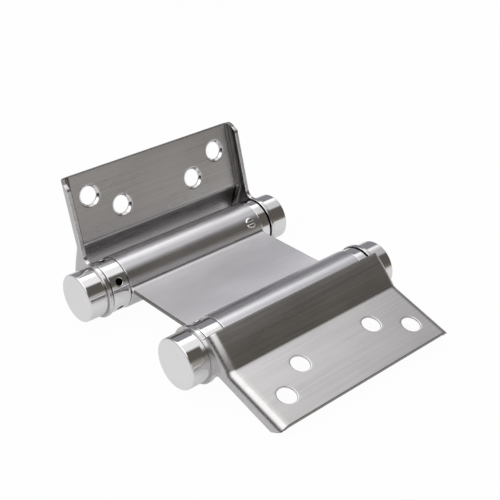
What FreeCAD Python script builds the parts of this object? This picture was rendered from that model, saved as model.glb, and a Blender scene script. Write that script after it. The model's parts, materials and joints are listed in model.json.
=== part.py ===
# Double action spring hinge of pressed stainless sheet, lying opened on a table.
# A centre plate is rolled into two barrels. Each barrel carries a leaf on a pintle, with a torsion spring,
# an adjusting collar at the front end, a fixed collar at the back end and a polished cap on each tip.
# Lengths are in millimetres, angles in degrees. X runs from barrel A to barrel B, Y along the pintles
# from the adjusting end to the fixed end, Z up from the table. The origin is under the middle of the part.
import FreeCAD
import Part
import math
import os

Vector = FreeCAD.Vector
Y_AXIS = Vector(0, 1, 0)
ORIGIN = Vector(0, 0, 0)

# Sheet metal and the two pin axes
sheet = 1.5                    # thickness of the leaves and of the centre plate
axis_spacing = 53.7            # between the two pintles
plate_offset = 0.85            # middle of the plate above axis A, and below axis B
barrel_radius = 9.5            # outside of the rolled barrels
barrel_front = -28.9           # end of the barrels at the adjusting collars
barrel_back = 32.0             # end of the barrels at the fixed collars
roll_neck_radius = 1.6         # inside bend where the plate runs up into a barrel
roll_seam_gap = 0.35           # between the rolled end and the plate

# Leaves
leaf_height = 76.0             # along the pintle, over both ears
wing_face = 7.05               # mounting face of the wing from the pin axis
wing_free_edge = 39.4          # free edge of the wing from the pin axis
crease_place = 15.5            # where the faces of the wing and the hood would meet
crease_radius = 2.0            # hollow of the fold between them
hood_gap = 2.87                # between the hood and the barrel
hood_edge_angle = 73.0         # free edge of the hood, turned from the wing
hood_bulge_radius = 70.0       # the hood is a shallow arch
ear_bend_radius = 3.5          # outside of the bend from wing and hood to the ears
ear_margin = 0.2               # round end of an ear, beyond the barrel
ear_edge = 2.0                 # free edge of an ear, above the pin axis
ear_neck_radius = 3.0          # hollow between the round end and the free edge
ear_tip_cut = 3.2              # corner cut off at the end of an ear
leaf_a_angle = 105.2           # leaf A turned open from the plate

# Screw holes of the wings
screw_hole_radius = 3.2
countersink_radius = 4.05
outer_hole_reach = 30.8        # outer pair from the pin axis
outer_hole_spacing = 56.0
inner_hole_reach = 23.8        # inner pair from the pin axis
inner_hole_spacing = 32.0

# Pintles, caps and washers
pintle_radius = 3.8
pintle_in_cap = 4.6            # how far a pintle reaches into each cap
pintle_tip_chamfer = 0.5
cap_radius = 8.65
cap_length = 7.1
cap_edge = 0.4                 # chamfer round the cap's outer face
washer_radius = 7.4
washer_thickness = 0.5

# Collars
collar_step = 0.3              # flange of a collar, below the outside of the barrel
collar_edge = 0.3              # chamfer on the collars' outer rims
shank_length = 7.0             # adjusting collar inside the barrel
plug_length = 9.0              # fixed collar inside the barrel
tommy_hole_radius = 1.35
tommy_hole_depth = 3.6
tommy_hole_count = 5
tommy_angle_a = 32.0           # first hole of collar A above the +X direction
tommy_angle_b = 116.0          # first hole of collar B above the +X direction

# Screw that holds each fixed collar
collar_screw_place = 27.6      # along the barrel
collar_screw_angle = 39.0      # round barrel A, above the plate
collar_screw_radius = 1.25
collar_screw_head_radius = 2.15
collar_screw_room = 0.9        # between the screw's tip and the pintle
collar_screw_slot = 0.7
collar_screw_slot_depth = 0.6

# Torsion springs of square wire
spring_wire = 1.9
spring_radius = 6.1            # middle of the wire
spring_turns = 10
spring_tang = 2.5              # straight end that hooks into each collar

# Clearances
running_fit = 0.05             # radial, where pieces turn on each other
seated_fit = 0.02              # radial, where pieces are held
end_play = 0.05                # along the pintle, at each face that turns
face_gap = 0.1                 # between a collar's flange and the barrel end
spring_play = 0.15             # at each end of a spring
cap_room = 0.2                 # between a pintle's tip and the bottom of the cap's bore

# Sizes that follow
bore_radius = barrel_radius - sheet
ear_radius = barrel_radius + ear_margin
collar_radius = barrel_radius - collar_step
collar_screw_tip = pintle_radius + collar_screw_room
pin_bore_radius = pintle_radius + running_fit
ear_inner_face = leaf_height / 2 - sheet
collar_outer_face = ear_inner_face - washer_thickness - 2 * end_play
plate_tilt = math.degrees(math.asin(2 * plate_offset / axis_spacing))
plate_half = math.sqrt((axis_spacing / 2) ** 2 - plate_offset ** 2)
hood_edge_radius = barrel_radius + hood_gap + sheet
hood_edge = (hood_edge_radius * math.cos(math.radians(hood_edge_angle)),
             hood_edge_radius * math.sin(math.radians(hood_edge_angle)))
ear_tip = (wing_free_edge - ear_tip_cut, ear_edge)
neck_height = ear_edge - ear_neck_radius
neck_reach = math.sqrt((ear_radius + ear_neck_radius) ** 2 - neck_height ** 2)
neck_share = ear_radius / (ear_radius + ear_neck_radius)
neck_touch = (neck_reach * neck_share, neck_height * neck_share)

# Leaf B leans down until the tips of its ears meet the table that its round ends stand on
leaf_b_lean = math.degrees(math.atan2(ear_tip[1], ear_tip[0])
                           + math.asin(ear_radius / math.hypot(ear_tip[0], ear_tip[1])))
leaf_a_lean = leaf_a_angle - plate_tilt


def face_of(edges):
    """Face inside a closed run of edges."""
    return Part.Face(Part.Wire(edges))


def line(start, end):
    """Straight edge between two points."""
    return Part.LineSegment(start, end).toShape()


def arc(centre, radius, from_angle, to_angle):
    """Circular edge about a centre in the XZ plane, angles turned from X towards Z."""
    points = []
    for angle in (from_angle, (from_angle + to_angle) / 2, to_angle):
        turn = math.radians(angle)
        points.append(Vector(centre[0] + radius * math.cos(turn), 0, centre[1] + radius * math.sin(turn)))
    return Part.Arc(*points).toShape()


def rod(radius, low, high, centre=(0.0, 0.0)):
    """Cylinder along Y between two places."""
    return Part.makeCylinder(radius, high - low, Vector(centre[0], low, centre[1]), Y_AXIS)


def turned(profile):
    """Solid of revolution about the Y axis from (radius, y) corners."""
    corners = [Vector(radius, y, 0) for radius, y in profile]
    edges = [line(a, b) for a, b in zip(corners, corners[1:] + corners[:1])]
    return face_of(edges).revolve(ORIGIN, Y_AXIS, 360)


def radial_hole(radius, y, angle, from_radius, to_radius):
    """Cylinder that points away from the Y axis at an angle above X."""
    turn = math.radians(angle)
    outward = Vector(math.cos(turn), 0, math.sin(turn))
    base = outward * from_radius + Vector(0, y, 0)
    return Part.makeCylinder(radius, to_radius - from_radius, base, outward)


def rotated(shape, angle, centre=ORIGIN):
    """Copy turned from X towards Z about a line along Y."""
    copy = shape.copy()
    copy.rotate(centre, Y_AXIS, -angle)
    return copy


def moved(shape, place):
    """Copy shifted to a place."""
    copy = shape.copy()
    copy.translate(place)
    return copy


# Leaf, with X out along the wing, Z out of its mounting face and the pin on the Y axis

def channel_section(drop, inset, place):
    """Face across the leaf: flat top, rounded shoulders, straight sides.

    drop is the depth of the sides, inset the offset inward from the outside of the sheet, and place turns
    (y, depth below the outside) into a point.
    """
    half = leaf_height / 2 - inset
    radius = ear_bend_radius - inset
    middle = half - radius
    low = math.sqrt(0.5) * radius
    top = -inset
    shoulder = top - radius
    bend = [Part.Arc(place(side * half, shoulder), place(side * (middle + low), shoulder + low),
                     place(side * middle, top)).toShape() for side in (-1, 1)]
    edges = [line(place(-half, -drop), place(-half, shoulder)), bend[0],
             line(place(-middle, top), place(middle, top)), bend[1],
             line(place(half, shoulder), place(half, -drop)), line(place(half, -drop), place(-half, -drop))]
    return Part.Face(Part.Wire(Part.__sortEdges__(edges)))


def hood_centre():
    """Centre of the hood's arch, from its two edges and its radius."""
    chord = (crease_place - hood_edge[0], wing_face - hood_edge[1])
    length = math.hypot(*chord)
    inward = (chord[1] / length, -chord[0] / length)
    reach = math.sqrt(hood_bulge_radius ** 2 - (length / 2) ** 2)
    return (hood_edge[0] + chord[0] / 2 + inward[0] * reach, hood_edge[1] + chord[1] / 2 + inward[1] * reach)


def crease_centre():
    """Centre of the fold's hollow, which touches the hood's arch and the wing's face."""
    centre = hood_centre()
    height = wing_face + crease_radius
    reach = hood_bulge_radius + crease_radius
    return (centre[0] + math.sqrt(reach ** 2 - (height - centre[1]) ** 2), height)


def angle_between(centre, point):
    """Angle above X from a centre to a point, in degrees."""
    return math.degrees(math.atan2(point[1] - centre[1], point[0] - centre[0]))


def leaf_block(inset, overrun, hood_drop, wing_drop):
    """Solid under the outside of the sheet, or under its inside when inset by the thickness.

    The section is carried round the hood's arch, then round the fold, then straight along the wing. overrun
    carries it past the sheet's edges.
    """
    hood = hood_centre()
    fold = crease_centre()
    top_angle = angle_between(hood, hood_edge) + math.degrees(overrun / hood_bulge_radius)
    fold_angle = angle_between(hood, fold)

    def on_hood(y, depth):
        reach = hood_bulge_radius + depth
        turn = math.radians(top_angle)
        return Vector(hood[0] + reach * math.cos(turn), y, hood[1] + reach * math.sin(turn))

    def on_fold(y, depth):
        return Vector(fold[0], y, wing_face + depth)

    arch = channel_section(hood_drop + overrun, inset, on_hood)
    arch = arch.revolve(Vector(hood[0], 0, hood[1]), Y_AXIS, top_angle - fold_angle)
    wing = channel_section(wing_drop + overrun, inset, on_fold)
    bend = wing.revolve(Vector(fold[0], 0, fold[1]), Y_AXIS, 90 - fold_angle)
    wing = wing.extrude(Vector(wing_free_edge + overrun - fold[0], 0, 0))
    return arch.fuse([bend, wing])


def below_ears():
    """Everything under the ears' lower outline: hollow neck beside the round end, free edge and cut tip."""
    neck_start = math.degrees(math.atan2(-neck_height, -neck_reach))
    past_tip = ear_tip_cut + sheet
    floor = -2 * ear_radius
    corners = [Vector(neck_reach, 0, ear_edge), Vector(ear_tip[0], 0, ear_edge),
               Vector(ear_tip[0] + past_tip, 0, ear_edge + past_tip), Vector(ear_tip[0] + past_tip, 0, floor),
               Vector(neck_touch[0], 0, floor), Vector(neck_touch[0], 0, neck_touch[1])]
    edges = [line(a, b) for a, b in zip(corners, corners[1:])]
    edges.append(arc((neck_reach, neck_height), ear_neck_radius, neck_start, 90.0))
    outline = moved(face_of(edges), Vector(0, -leaf_height, 0))
    return outline.extrude(Vector(0, 2 * leaf_height, 0))


def ear_plate(near, outside):
    """Flat ear between near and near plus the sheet, up to the outside of the leaf."""
    inner = ear_radius - 2 * sheet
    strip = Part.makeBox(wing_free_edge - inner, sheet, hood_edge_radius - neck_touch[1],
                         Vector(inner, near, neck_touch[1]))
    return rod(ear_radius, near, near + sheet).fuse(strip).common(outside)


def wing_hole(reach, y):
    """Countersunk screw hole: plain on the mounting face, wide on the other."""
    inner_face = wing_face - sheet
    depth = countersink_radius - screw_hole_radius
    hole = Part.makeCylinder(screw_hole_radius, 2 * sheet, Vector(reach, y, inner_face - sheet / 2))
    cone = Part.makeCone(countersink_radius, screw_hole_radius, depth, Vector(reach, y, inner_face))
    return hole.fuse(cone)


def make_leaf():
    """One pressed leaf: wing, arched hood, two ears, four countersunk holes."""
    hood_drop = ear_bend_radius + sheet
    wing_drop = wing_face - ear_edge
    hollow = leaf_block(sheet, sheet, hood_drop, wing_drop)
    shell = leaf_block(0.0, 0.0, hood_drop, wing_drop).cut(hollow)

    # Ears keep inside the rounded shoulders, except the round ends, which stand clear of the hood's edge
    drop = hood_edge_radius + ear_radius
    clear_side = Part.makeBox(drop, leaf_height, 2 * drop, Vector(-drop, -leaf_height / 2, -drop))
    clear_side.rotate(ORIGIN, Y_AXIS, 90 - angle_between(hood_centre(), hood_edge))
    clear_side.translate(Vector(hood_edge[0], 0, hood_edge[1]))
    outside = leaf_block(0.0, 0.0, drop, drop).fuse(clear_side)
    for near in (-leaf_height / 2, ear_inner_face):
        shell = shell.fuse(ear_plate(near, outside))
    shell = shell.cut(below_ears())
    shell = shell.cut(rod(pintle_radius + seated_fit, -leaf_height, leaf_height))
    for reach, spacing in ((outer_hole_reach, outer_hole_spacing), (inner_hole_reach, inner_hole_spacing)):
        for side in (-1, 1):
            shell = shell.cut(wing_hole(reach, side * spacing / 2))
    return shell.removeSplitter()


# Centre plate, with X along the plate and the origin midway between the pins

def make_barrel_half():
    """Half of the plate and barrel A, a roll that leaves the plate upward and closes on its underside."""
    length = barrel_back - barrel_front
    centre = (-plate_half, -plate_offset)
    roll = rod(barrel_radius, barrel_front, barrel_back, centre)
    plate = Part.makeBox(plate_half, length, sheet, Vector(-plate_half, barrel_front, -sheet / 2))
    slit_reach = barrel_radius + roll_neck_radius
    slit = Part.makeBox(slit_reach, length, roll_seam_gap,
                        Vector(-plate_half, barrel_front, -sheet / 2 - roll_seam_gap))
    half = roll.fuse(plate).removeSplitter()
    top = sheet / 2
    corner = Vector(math.sqrt(barrel_radius ** 2 - (top + plate_offset) ** 2) - plate_half, 0, top)
    long_edges = [edge for edge in half.Edges if edge.BoundBox.YLength > length / 2]
    neck = min(long_edges, key=lambda edge: math.hypot(edge.CenterOfMass.x - corner.x,
                                                       edge.CenterOfMass.z - corner.z))
    half = half.makeFillet(roll_neck_radius, [neck])
    return half.cut(slit).cut(rod(bore_radius, barrel_front, barrel_back, centre))


def screw_seat(extra):
    """Countersunk collar screw standing on the Y axis, its head at the outside of the barrel."""
    depth = collar_screw_head_radius - collar_screw_radius
    tip = collar_screw_tip - extra
    outward = Vector(0, 0, 1)
    shank = Part.makeCylinder(collar_screw_radius + extra, barrel_radius - depth - tip,
                              Vector(0, 0, tip), outward)
    head = Part.makeCone(collar_screw_radius + extra, collar_screw_head_radius + extra, depth,
                         Vector(0, 0, barrel_radius - depth), outward)
    above = Part.makeCylinder(collar_screw_head_radius + extra, sheet, Vector(0, 0, barrel_radius), outward)
    seat = shank.fuse(head)
    if extra:
        seat = seat.fuse(above)
    return seat


def placed_on_barrel(shape):
    """Shape turned from straight up to the collar screw's angle and moved along the barrel."""
    return moved(rotated(shape, collar_screw_angle - 90), Vector(0, collar_screw_place, 0))


def make_centre_plate():
    """Plate with both barrels. Barrel B is barrel A turned half a turn about the middle."""
    half = make_barrel_half()
    seat = moved(placed_on_barrel(screw_seat(seated_fit)), Vector(-plate_half, 0, -plate_offset))
    half = half.cut(seat)
    return half.fuse(rotated(half, 180)).removeSplitter()


# Pieces on one pin, with the pin on the Y axis

def make_pintle():
    """Plain pin through both ears and into both caps."""
    half = leaf_height / 2 + pintle_in_cap
    slim = pintle_radius - pintle_tip_chamfer
    return turned([(0, -half), (slim, -half), (pintle_radius, -half + pintle_tip_chamfer),
                   (pintle_radius, half - pintle_tip_chamfer), (slim, half), (0, half)])


def make_cap():
    """Round cap with a chamfered face and a blind bore, standing out along Y from the ear."""
    bore = pintle_radius + seated_fit
    seat = leaf_height / 2
    depth = pintle_in_cap + cap_room
    return turned([(bore, seat), (cap_radius, seat), (cap_radius, seat + cap_length - cap_edge),
                   (cap_radius - cap_edge, seat + cap_length), (0, seat + cap_length),
                   (0, seat + depth), (bore, seat + depth)])


def make_washer():
    """Thrust washer between a collar and the ear, at the back end."""
    low = collar_outer_face + end_play
    ring = rod(washer_radius, low, low + washer_thickness)
    return ring.cut(rod(pin_bore_radius, low, low + washer_thickness))


def tang_hole(y_low, y_high, angle):
    """Square hole for a spring's straight end."""
    side = spring_wire + 2 * seated_fit
    hole = Part.makeBox(side, y_high - y_low, side, Vector(spring_radius - side / 2, y_low, -side / 2))
    return rotated(hole, angle)


def spring_low():
    """Front end of the spring's coils."""
    return barrel_front + shank_length + spring_play


def spring_high():
    """Back end of the spring's coils."""
    return barrel_back - plug_length - spring_play


def make_adjusting_collar(first_angle, tang_angle):
    """Collar with tommy bar holes round its flange and a shank inside the barrel."""
    flange_end = barrel_front - face_gap
    shank_end = barrel_front + shank_length
    shank = bore_radius - running_fit
    rim = collar_radius - collar_edge
    collar = turned([(pin_bore_radius, -collar_outer_face), (rim, -collar_outer_face),
                     (collar_radius, -collar_outer_face + collar_edge), (collar_radius, flange_end),
                     (shank, flange_end), (shank, shank_end), (pin_bore_radius, shank_end)])
    middle = (flange_end - collar_outer_face) / 2
    for index in range(tommy_hole_count):
        angle = first_angle + index * 360.0 / tommy_hole_count
        collar = collar.cut(radial_hole(tommy_hole_radius, middle, angle, collar_radius - tommy_hole_depth,
                                        collar_radius + collar_edge))
    return collar.cut(tang_hole(shank_end - spring_tang, shank_end + spring_play, tang_angle))


def make_fixed_collar():
    """Collar with a plain flange at the back end and a plug that the collar screw holds in the barrel."""
    flange_end = barrel_back + face_gap
    plug_end = barrel_back - plug_length
    plug = bore_radius - seated_fit
    rim = collar_radius - collar_edge
    collar = turned([(pin_bore_radius, plug_end), (plug, plug_end), (plug, flange_end),
                     (collar_radius, flange_end), (collar_radius, collar_outer_face - collar_edge),
                     (rim, collar_outer_face), (pin_bore_radius, collar_outer_face)])
    collar = collar.cut(placed_on_barrel(screw_seat(seated_fit)))
    return collar.cut(tang_hole(plug_end - spring_play, plug_end + spring_tang, 0.0))


def make_collar_screw():
    """Countersunk screw with a slot across its head."""
    screw = screw_seat(0.0)
    slot = Part.makeBox(collar_screw_slot, 4 * collar_screw_head_radius, sheet,
                        Vector(-collar_screw_slot / 2, -2 * collar_screw_head_radius,
                               barrel_radius - collar_screw_slot_depth))
    return placed_on_barrel(screw.cut(slot))


def make_spring():
    """Coil of square wire with a straight end along the pin at both ends."""
    low = spring_low() + spring_wire / 2
    height = spring_high() - spring_low() - spring_wire
    helix = Part.makeHelix(height / spring_turns, height, spring_radius)
    half = spring_wire / 2
    corners = [Vector(spring_radius + a * half, 0, b * half) for a, b in ((-1, -1), (1, -1), (1, 1), (-1, 1))]
    section = Part.Wire([line(a, b) for a, b in zip(corners, corners[1:] + corners[:1])])
    coil = Part.Wire(helix.Edges).makePipeShell([section], True, True)
    coil.rotate(ORIGIN, Vector(1, 0, 0), -90)
    coil.translate(Vector(0, low, 0))
    front = Part.makeBox(spring_wire, spring_tang + spring_play + half, spring_wire,
                         Vector(spring_radius - half, spring_low() - spring_play - spring_tang + half, -half))
    back = Part.makeBox(spring_wire, spring_tang + spring_play, spring_wire,
                        Vector(spring_radius - half, spring_high() - half, -half))
    return coil.fuse(front).fuse(back)


# Assembly: the two axes stand level on the table, at the radius of the ears' round ends

def assemble():
    """Every piece by name, with X still measured from the middle between the pins."""
    axis_a = Vector(-axis_spacing / 2, 0, ear_radius)
    axis_b = Vector(axis_spacing / 2, 0, ear_radius)
    middle = Vector(0, 0, ear_radius)
    leaf = make_leaf()
    cap = make_cap()
    washer = make_washer()
    pieces = {"centre_plate": moved(rotated(make_centre_plate(), -plate_tilt), middle)}
    for name, axis, lean, half_turn, tommy in (("a", axis_a, leaf_a_lean, 0, tommy_angle_a),
                                               ("b", axis_b, -leaf_b_lean, 180, tommy_angle_b)):
        plate_turn = half_turn - plate_tilt
        pieces["leaf_" + name] = moved(rotated(leaf, lean), axis)
        pieces["pintle_" + name] = moved(make_pintle(), axis)
        pieces["front_cap_" + name] = moved(cap.mirror(ORIGIN, Y_AXIS), axis)
        pieces["back_cap_" + name] = moved(cap, axis)
        pieces["front_washer_" + name] = moved(washer.mirror(ORIGIN, Y_AXIS), axis)
        pieces["back_washer_" + name] = moved(washer, axis)
        pieces["adjusting_collar_" + name] = moved(make_adjusting_collar(tommy, plate_turn), axis)
        pieces["fixed_collar_" + name] = moved(rotated(make_fixed_collar(), plate_turn), axis)
        pieces["collar_screw_" + name] = moved(rotated(make_collar_screw(), plate_turn), axis)
        pieces["spring_" + name] = moved(rotated(make_spring(), plate_turn), axis)
    return pieces


def main():
    """Builds the pieces, puts the origin under the middle of the part and writes them."""
    os.makedirs("parts", exist_ok=True)
    pieces = assemble()
    box = Part.makeCompound(list(pieces.values())).optimalBoundingBox(False)
    shift = Vector(-box.Center.x, -box.Center.y, -box.ZMin)
    for name, shape in pieces.items():
        moved(shape, shift).exportStep("parts/" + name + ".step")


main()
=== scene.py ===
"""Looks of a double action spring hinge: pressed satin leaves, a rolled centre plate, polished caps and collars.

Every piece is a surface worked out from the hinge's own sizes and set round the two pintles of the frame.
"""
import json
import math
from functools import partial

import bmesh
import bpy
import numpy as np
from bpy.props import FloatProperty, FloatVectorProperty, IntProperty, PointerProperty
from mathutils import Matrix, Vector

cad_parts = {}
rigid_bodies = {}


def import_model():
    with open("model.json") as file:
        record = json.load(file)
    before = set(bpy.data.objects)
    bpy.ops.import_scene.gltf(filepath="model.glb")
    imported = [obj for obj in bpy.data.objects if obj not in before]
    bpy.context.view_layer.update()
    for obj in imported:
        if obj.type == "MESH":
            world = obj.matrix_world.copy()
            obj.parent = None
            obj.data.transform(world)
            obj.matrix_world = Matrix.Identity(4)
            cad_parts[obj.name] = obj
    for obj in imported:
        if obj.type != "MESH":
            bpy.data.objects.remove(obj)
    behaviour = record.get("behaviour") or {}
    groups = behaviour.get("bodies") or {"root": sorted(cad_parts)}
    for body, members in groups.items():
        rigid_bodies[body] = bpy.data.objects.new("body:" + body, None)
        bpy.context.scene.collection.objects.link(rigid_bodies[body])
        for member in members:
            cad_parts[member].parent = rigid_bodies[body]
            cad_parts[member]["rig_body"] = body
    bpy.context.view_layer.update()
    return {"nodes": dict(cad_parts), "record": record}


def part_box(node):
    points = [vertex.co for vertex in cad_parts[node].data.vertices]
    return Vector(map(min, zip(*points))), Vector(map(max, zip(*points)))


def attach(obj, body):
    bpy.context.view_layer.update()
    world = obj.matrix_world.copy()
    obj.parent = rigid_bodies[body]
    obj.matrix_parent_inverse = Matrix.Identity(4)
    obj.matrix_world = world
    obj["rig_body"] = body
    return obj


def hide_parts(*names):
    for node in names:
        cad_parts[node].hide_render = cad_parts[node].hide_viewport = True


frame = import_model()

bl_info = {
    "name": "Double Action Spring Hinge",
    "version": (1, 0, 0),
    "blender": (4, 5, 0),
    "location": "View3D > Sidebar > Hinge",
    "description": "Builds the leaves, plate, caps, collars, washers and screws of a spring hinge, and its stage",
    "category": "Add Mesh",
}

SIDES = ("a", "b")
ENDS = ("front", "back")
MILLIMETRE = 0.001
WHITE = (1.0, 1.0, 1.0, 1.0)


# Sizes that the frame gives

def mount_of(name):
    """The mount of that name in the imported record."""
    return next(mount for mount in frame["record"]["mounts"] if mount["name"] == name)


def middle_of(node):
    """Middle of a node's box."""
    low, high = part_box(node)
    return (low + high) / 2


def half_width(node):
    """Half of a round node's width across the pins."""
    low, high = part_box(node)
    return (high.x - low.x) / 2


AXES = {side: middle_of("pintle_" + side) for side in SIDES}
PIN_SPACING = (AXES["b"] - AXES["a"]).length
LEAF_NORMALS = {side: Vector(mount_of("leaf_%s_face" % side)["axis"]) for side in SIDES}
LEAF_LEANS = {side: math.atan2(-LEAF_NORMALS[side].x, LEAF_NORMALS[side].z) for side in SIDES}
WING_FACE = (Vector(mount_of("leaf_a_face")["pos_m"]) - AXES["a"]).dot(LEAF_NORMALS["a"])
LEAF_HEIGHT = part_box("leaf_a")[1].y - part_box("leaf_a")[0].y
BARREL_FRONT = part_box("centre_plate")[0].y
BARREL_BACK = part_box("centre_plate")[1].y
BARREL_RADIUS = AXES["a"].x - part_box("centre_plate")[0].x


def hole_reach(name):
    """Distance of a pair of screw holes from the pin, along the wing of leaf A."""
    along = Vector((LEAF_NORMALS["a"].z, 0, -LEAF_NORMALS["a"].x))
    return (Vector(mount_of(name)["pos_m"]) - AXES["a"]).dot(along)


# Each pair's reach from the pin and half its spacing, then each hole's reach and its place along the pin
SCREW_PAIRS = [(hole_reach(name), mount_of(name)["dims"]["pcd_mm"] * MILLIMETRE / 2)
               for name in ("leaf_a_outer_screws", "leaf_a_inner_screws")]
SCREW_PLACES = [(reach, hand * off) for reach, off in SCREW_PAIRS for hand in (-1, 1)]
SCREW_BORE = mount_of("leaf_a_outer_screws")["dims"]["hole_r_mm"] * MILLIMETRE


# Sizes, colours and light that a user can change

def number(name, description, default, **kind):
    """A number with its name, description and kind."""
    return FloatProperty(name=name, description=description, default=default, **kind)


def numbers(name, description, default, **kind):
    """As many numbers as the default holds."""
    return FloatVectorProperty(name=name, description=description, default=default, size=len(default), **kind)


length = partial(number, unit="LENGTH", precision=5)
angle = partial(number, subtype="ANGLE")
angles = partial(numbers, subtype="EULER")
colour = partial(numbers, subtype="COLOR", min=0.0, max=1.0)


class HingeSizes(bpy.types.PropertyGroup):
    """Sizes of the sheet metal and of the turned pieces."""
    sheet: length("Sheet", "Thickness of the leaves and of the centre plate", 0.0015)
    edge_round: length("Edge rounding", "Rounding along the edges of the sheet", 0.00022)
    wing_free_edge: length("Wing free edge", "Free edge of a wing from the pin", 0.0394)
    crease_place: length("Crease", "Where the faces of wing and hood would meet, from the pin", 0.0155)
    crease_radius: length("Crease radius", "Hollow of the fold between wing and hood", 0.002)
    hood_gap: length("Hood gap", "Between the hood's edge and the barrel", 0.00287)
    hood_edge_angle: angle("Hood edge", "Hood's free edge, turned from the wing", math.radians(73))
    hood_bulge_radius: length("Hood arch", "Radius of the hood's shallow arch", 0.070)
    ear_bend_radius: length("Ear bend", "Outside of the bend from wing and hood to the ears", 0.0035)
    ear_radius: length("Ear end", "Round end of an ear about the pin", 0.0097)
    ear_edge: length("Ear edge", "Free edge of an ear above the pin", 0.002)
    ear_neck_radius: length("Ear neck", "Hollow between the round end and the free edge", 0.003)
    ear_tip_cut: length("Ear tip cut", "Corner cut off at the end of an ear", 0.0032)
    countersink_radius: length("Countersink", "Wide end of the screw holes", 0.00405)
    plate_offset: length("Plate offset", "Middle of the plate above axis A and below axis B", 0.00085)
    roll_neck_radius: length("Roll neck", "Inside bend where the plate runs into a barrel", 0.0016)
    roll_seam_gap: length("Roll seam", "Between the rolled end and the plate", 0.00035)
    cap_round: length("Cap rounding", "Rounding of a cap's outer rim", 0.0005)
    collar_round: length("Collar rounding", "Rounding of a collar's rims", 0.00025)
    collar_reach: length("Collar reach", "How far a collar's face comes into the slit by the ear", 0.00012)
    tommy_hole_radius: length("Tommy hole", "Radius of the tommy bar holes", 0.00135)
    tommy_hole_depth: length("Tommy hole depth", "Depth of the tommy bar holes", 0.0036)
    tommy_hole_count: IntProperty(name="Tommy holes", description="Holes round an adjusting collar", default=5)
    tommy_angles: angles("First tommy holes", "First hole of collars A and B above X",
                         (math.radians(32), math.radians(116)))
    screw_head_radius: length("Collar screw head", "Radius of the collar screw's head", 0.00212)
    screw_slot: length("Collar screw slot", "Width of the slot", 0.0009)
    screw_slot_depth: length("Collar screw slot depth", "Depth of the slot", 0.0009)
    screw_angle: angle("Collar screw", "Screw's angle round its barrel, from the plate", math.radians(39))


class HingeFinishes(bpy.types.PropertyGroup):
    """Colours and gloss of the metal."""
    satin_colour: colour("Satin sheet", "Brushed stainless sheet of the leaves", (0.59, 0.578, 0.575))
    satin_roughness: number("Satin roughness", "Roughness of the leaves", 0.29)
    rolled_colour: colour("Rolled sheet", "Paler stainless sheet of the centre plate", (0.65, 0.64, 0.66))
    rolled_roughness: number("Rolled roughness", "Roughness of the barrels", 0.29)
    plate_roughness: number("Plate roughness", "Roughness of the flat plate", 0.5)
    # Cut edges: the dull grey of a sheared edge, made darker with painted shade
    sheared_and_shaded_colour: colour("Sheared edge", "Cut edges of the sheet", (0.24, 0.23, 0.22))
    # Ears' insides: the smooth unbrushed finish is real, the near-black colour is painted shade for the hollow of
    # the folded ears
    shaded_mill_colour: colour("Mill sheet", "Unbrushed insides of the ears", (0.17, 0.165, 0.16))
    bright_colour: colour("Bright steel", "Polished turned pieces", (0.84, 0.83, 0.835))
    bright_roughness: number("Bright roughness", "Roughness of the bright pieces", 0.06)
    face_roughness: number("Cap face roughness", "Roughness of the caps' end faces", 0.34)
    ground_colour: colour("Ground steel", "Pins and washers", (0.55, 0.54, 0.53))
    spring_colour: colour("Spring wire", "Drawn spring wire", (0.30, 0.29, 0.28))


class HingeStage(bpy.types.PropertyGroup):
    """Camera, floor and light."""
    camera_place: numbers("Camera place", "Where the camera stands", (0.223607, -0.196570, 0.187782),
                          subtype="TRANSLATION")
    camera_turn: angles("Camera turn", "Azimuth, elevation and roll of the view",
                        tuple(math.radians(degrees) for degrees in (48.733, 28.448, 1.426)))
    lens: number("Lens", "Focal length in millimetres on a 36 mm sensor", 73.538)
    floor_size: length("Floor", "Side of the floor", 6.0)
    softbox_glow: number("Softbox glow", "Brightness of the overhead softbox", 0.98)
    hot_glow: number("Hot side glow", "Brightness of the softbox's left side", 2.15)
    front_glow: number("Front glow", "Brightness of the softbox over the camera", 1.7)
    left_room: colour("Left of the room", "Cool side of the room", (0.28, 0.276, 0.297))
    right_room: colour("Right of the room", "Dim warm side of the room", (0.115, 0.105, 0.092))
    far_floor: colour("Far floor", "Table top far to the right and the foot of the wall", (0.18, 0.162, 0.138))
    pale_wall: colour("Pale wall", "Foot of the right wall towards the front", (0.72, 0.7, 0.67))
    dark_room: colour("Dark room", "Low down behind the camera", (0.03, 0.03, 0.03))


# Fineness of the surfaces: points along a stretch, or cells where the name says so

ROUNDING = np.linspace(0, math.pi / 2, 5)  # quarter turn round an edge of the sheet
HOOD_POINTS, FOLD_POINTS, BEND_POINTS = 25, 9, 13
EAR_EDGE_POINTS, NECK_POINTS, EAR_END_POINTS = 24, 13, 61
FLAT_POINTS, ROLL_POINTS = 40, 161
HEAD_POINTS, CHORD_POINTS = 14, 33
HOLE_ROWS, TOMMY_ROWS = 5, 9
HOLE_CELLS = 10  # along each side of a screw hole's square
WING_CELLS = (3, 7, 3, 7, 6)  # out along the wing, from one side of the squares to the next
CROSS_CELLS = (8, 10, 2, 10, 3)  # from the wing's middle to an ear, likewise
PATCH_CELLS = 12  # along each side of a tommy hole's patch
WELD, FLAT_EDGE = 2e-6, 1e-7  # metres within which points are one, and edges are none

# Finishes of the sheet pieces by their number; the cut edges and the ears' insides have painted shade in their
# colours
FACE, SHADED_CUT, BRIGHT, SHADED_MILL = range(4)


# Putting grids of points together into one piece

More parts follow.
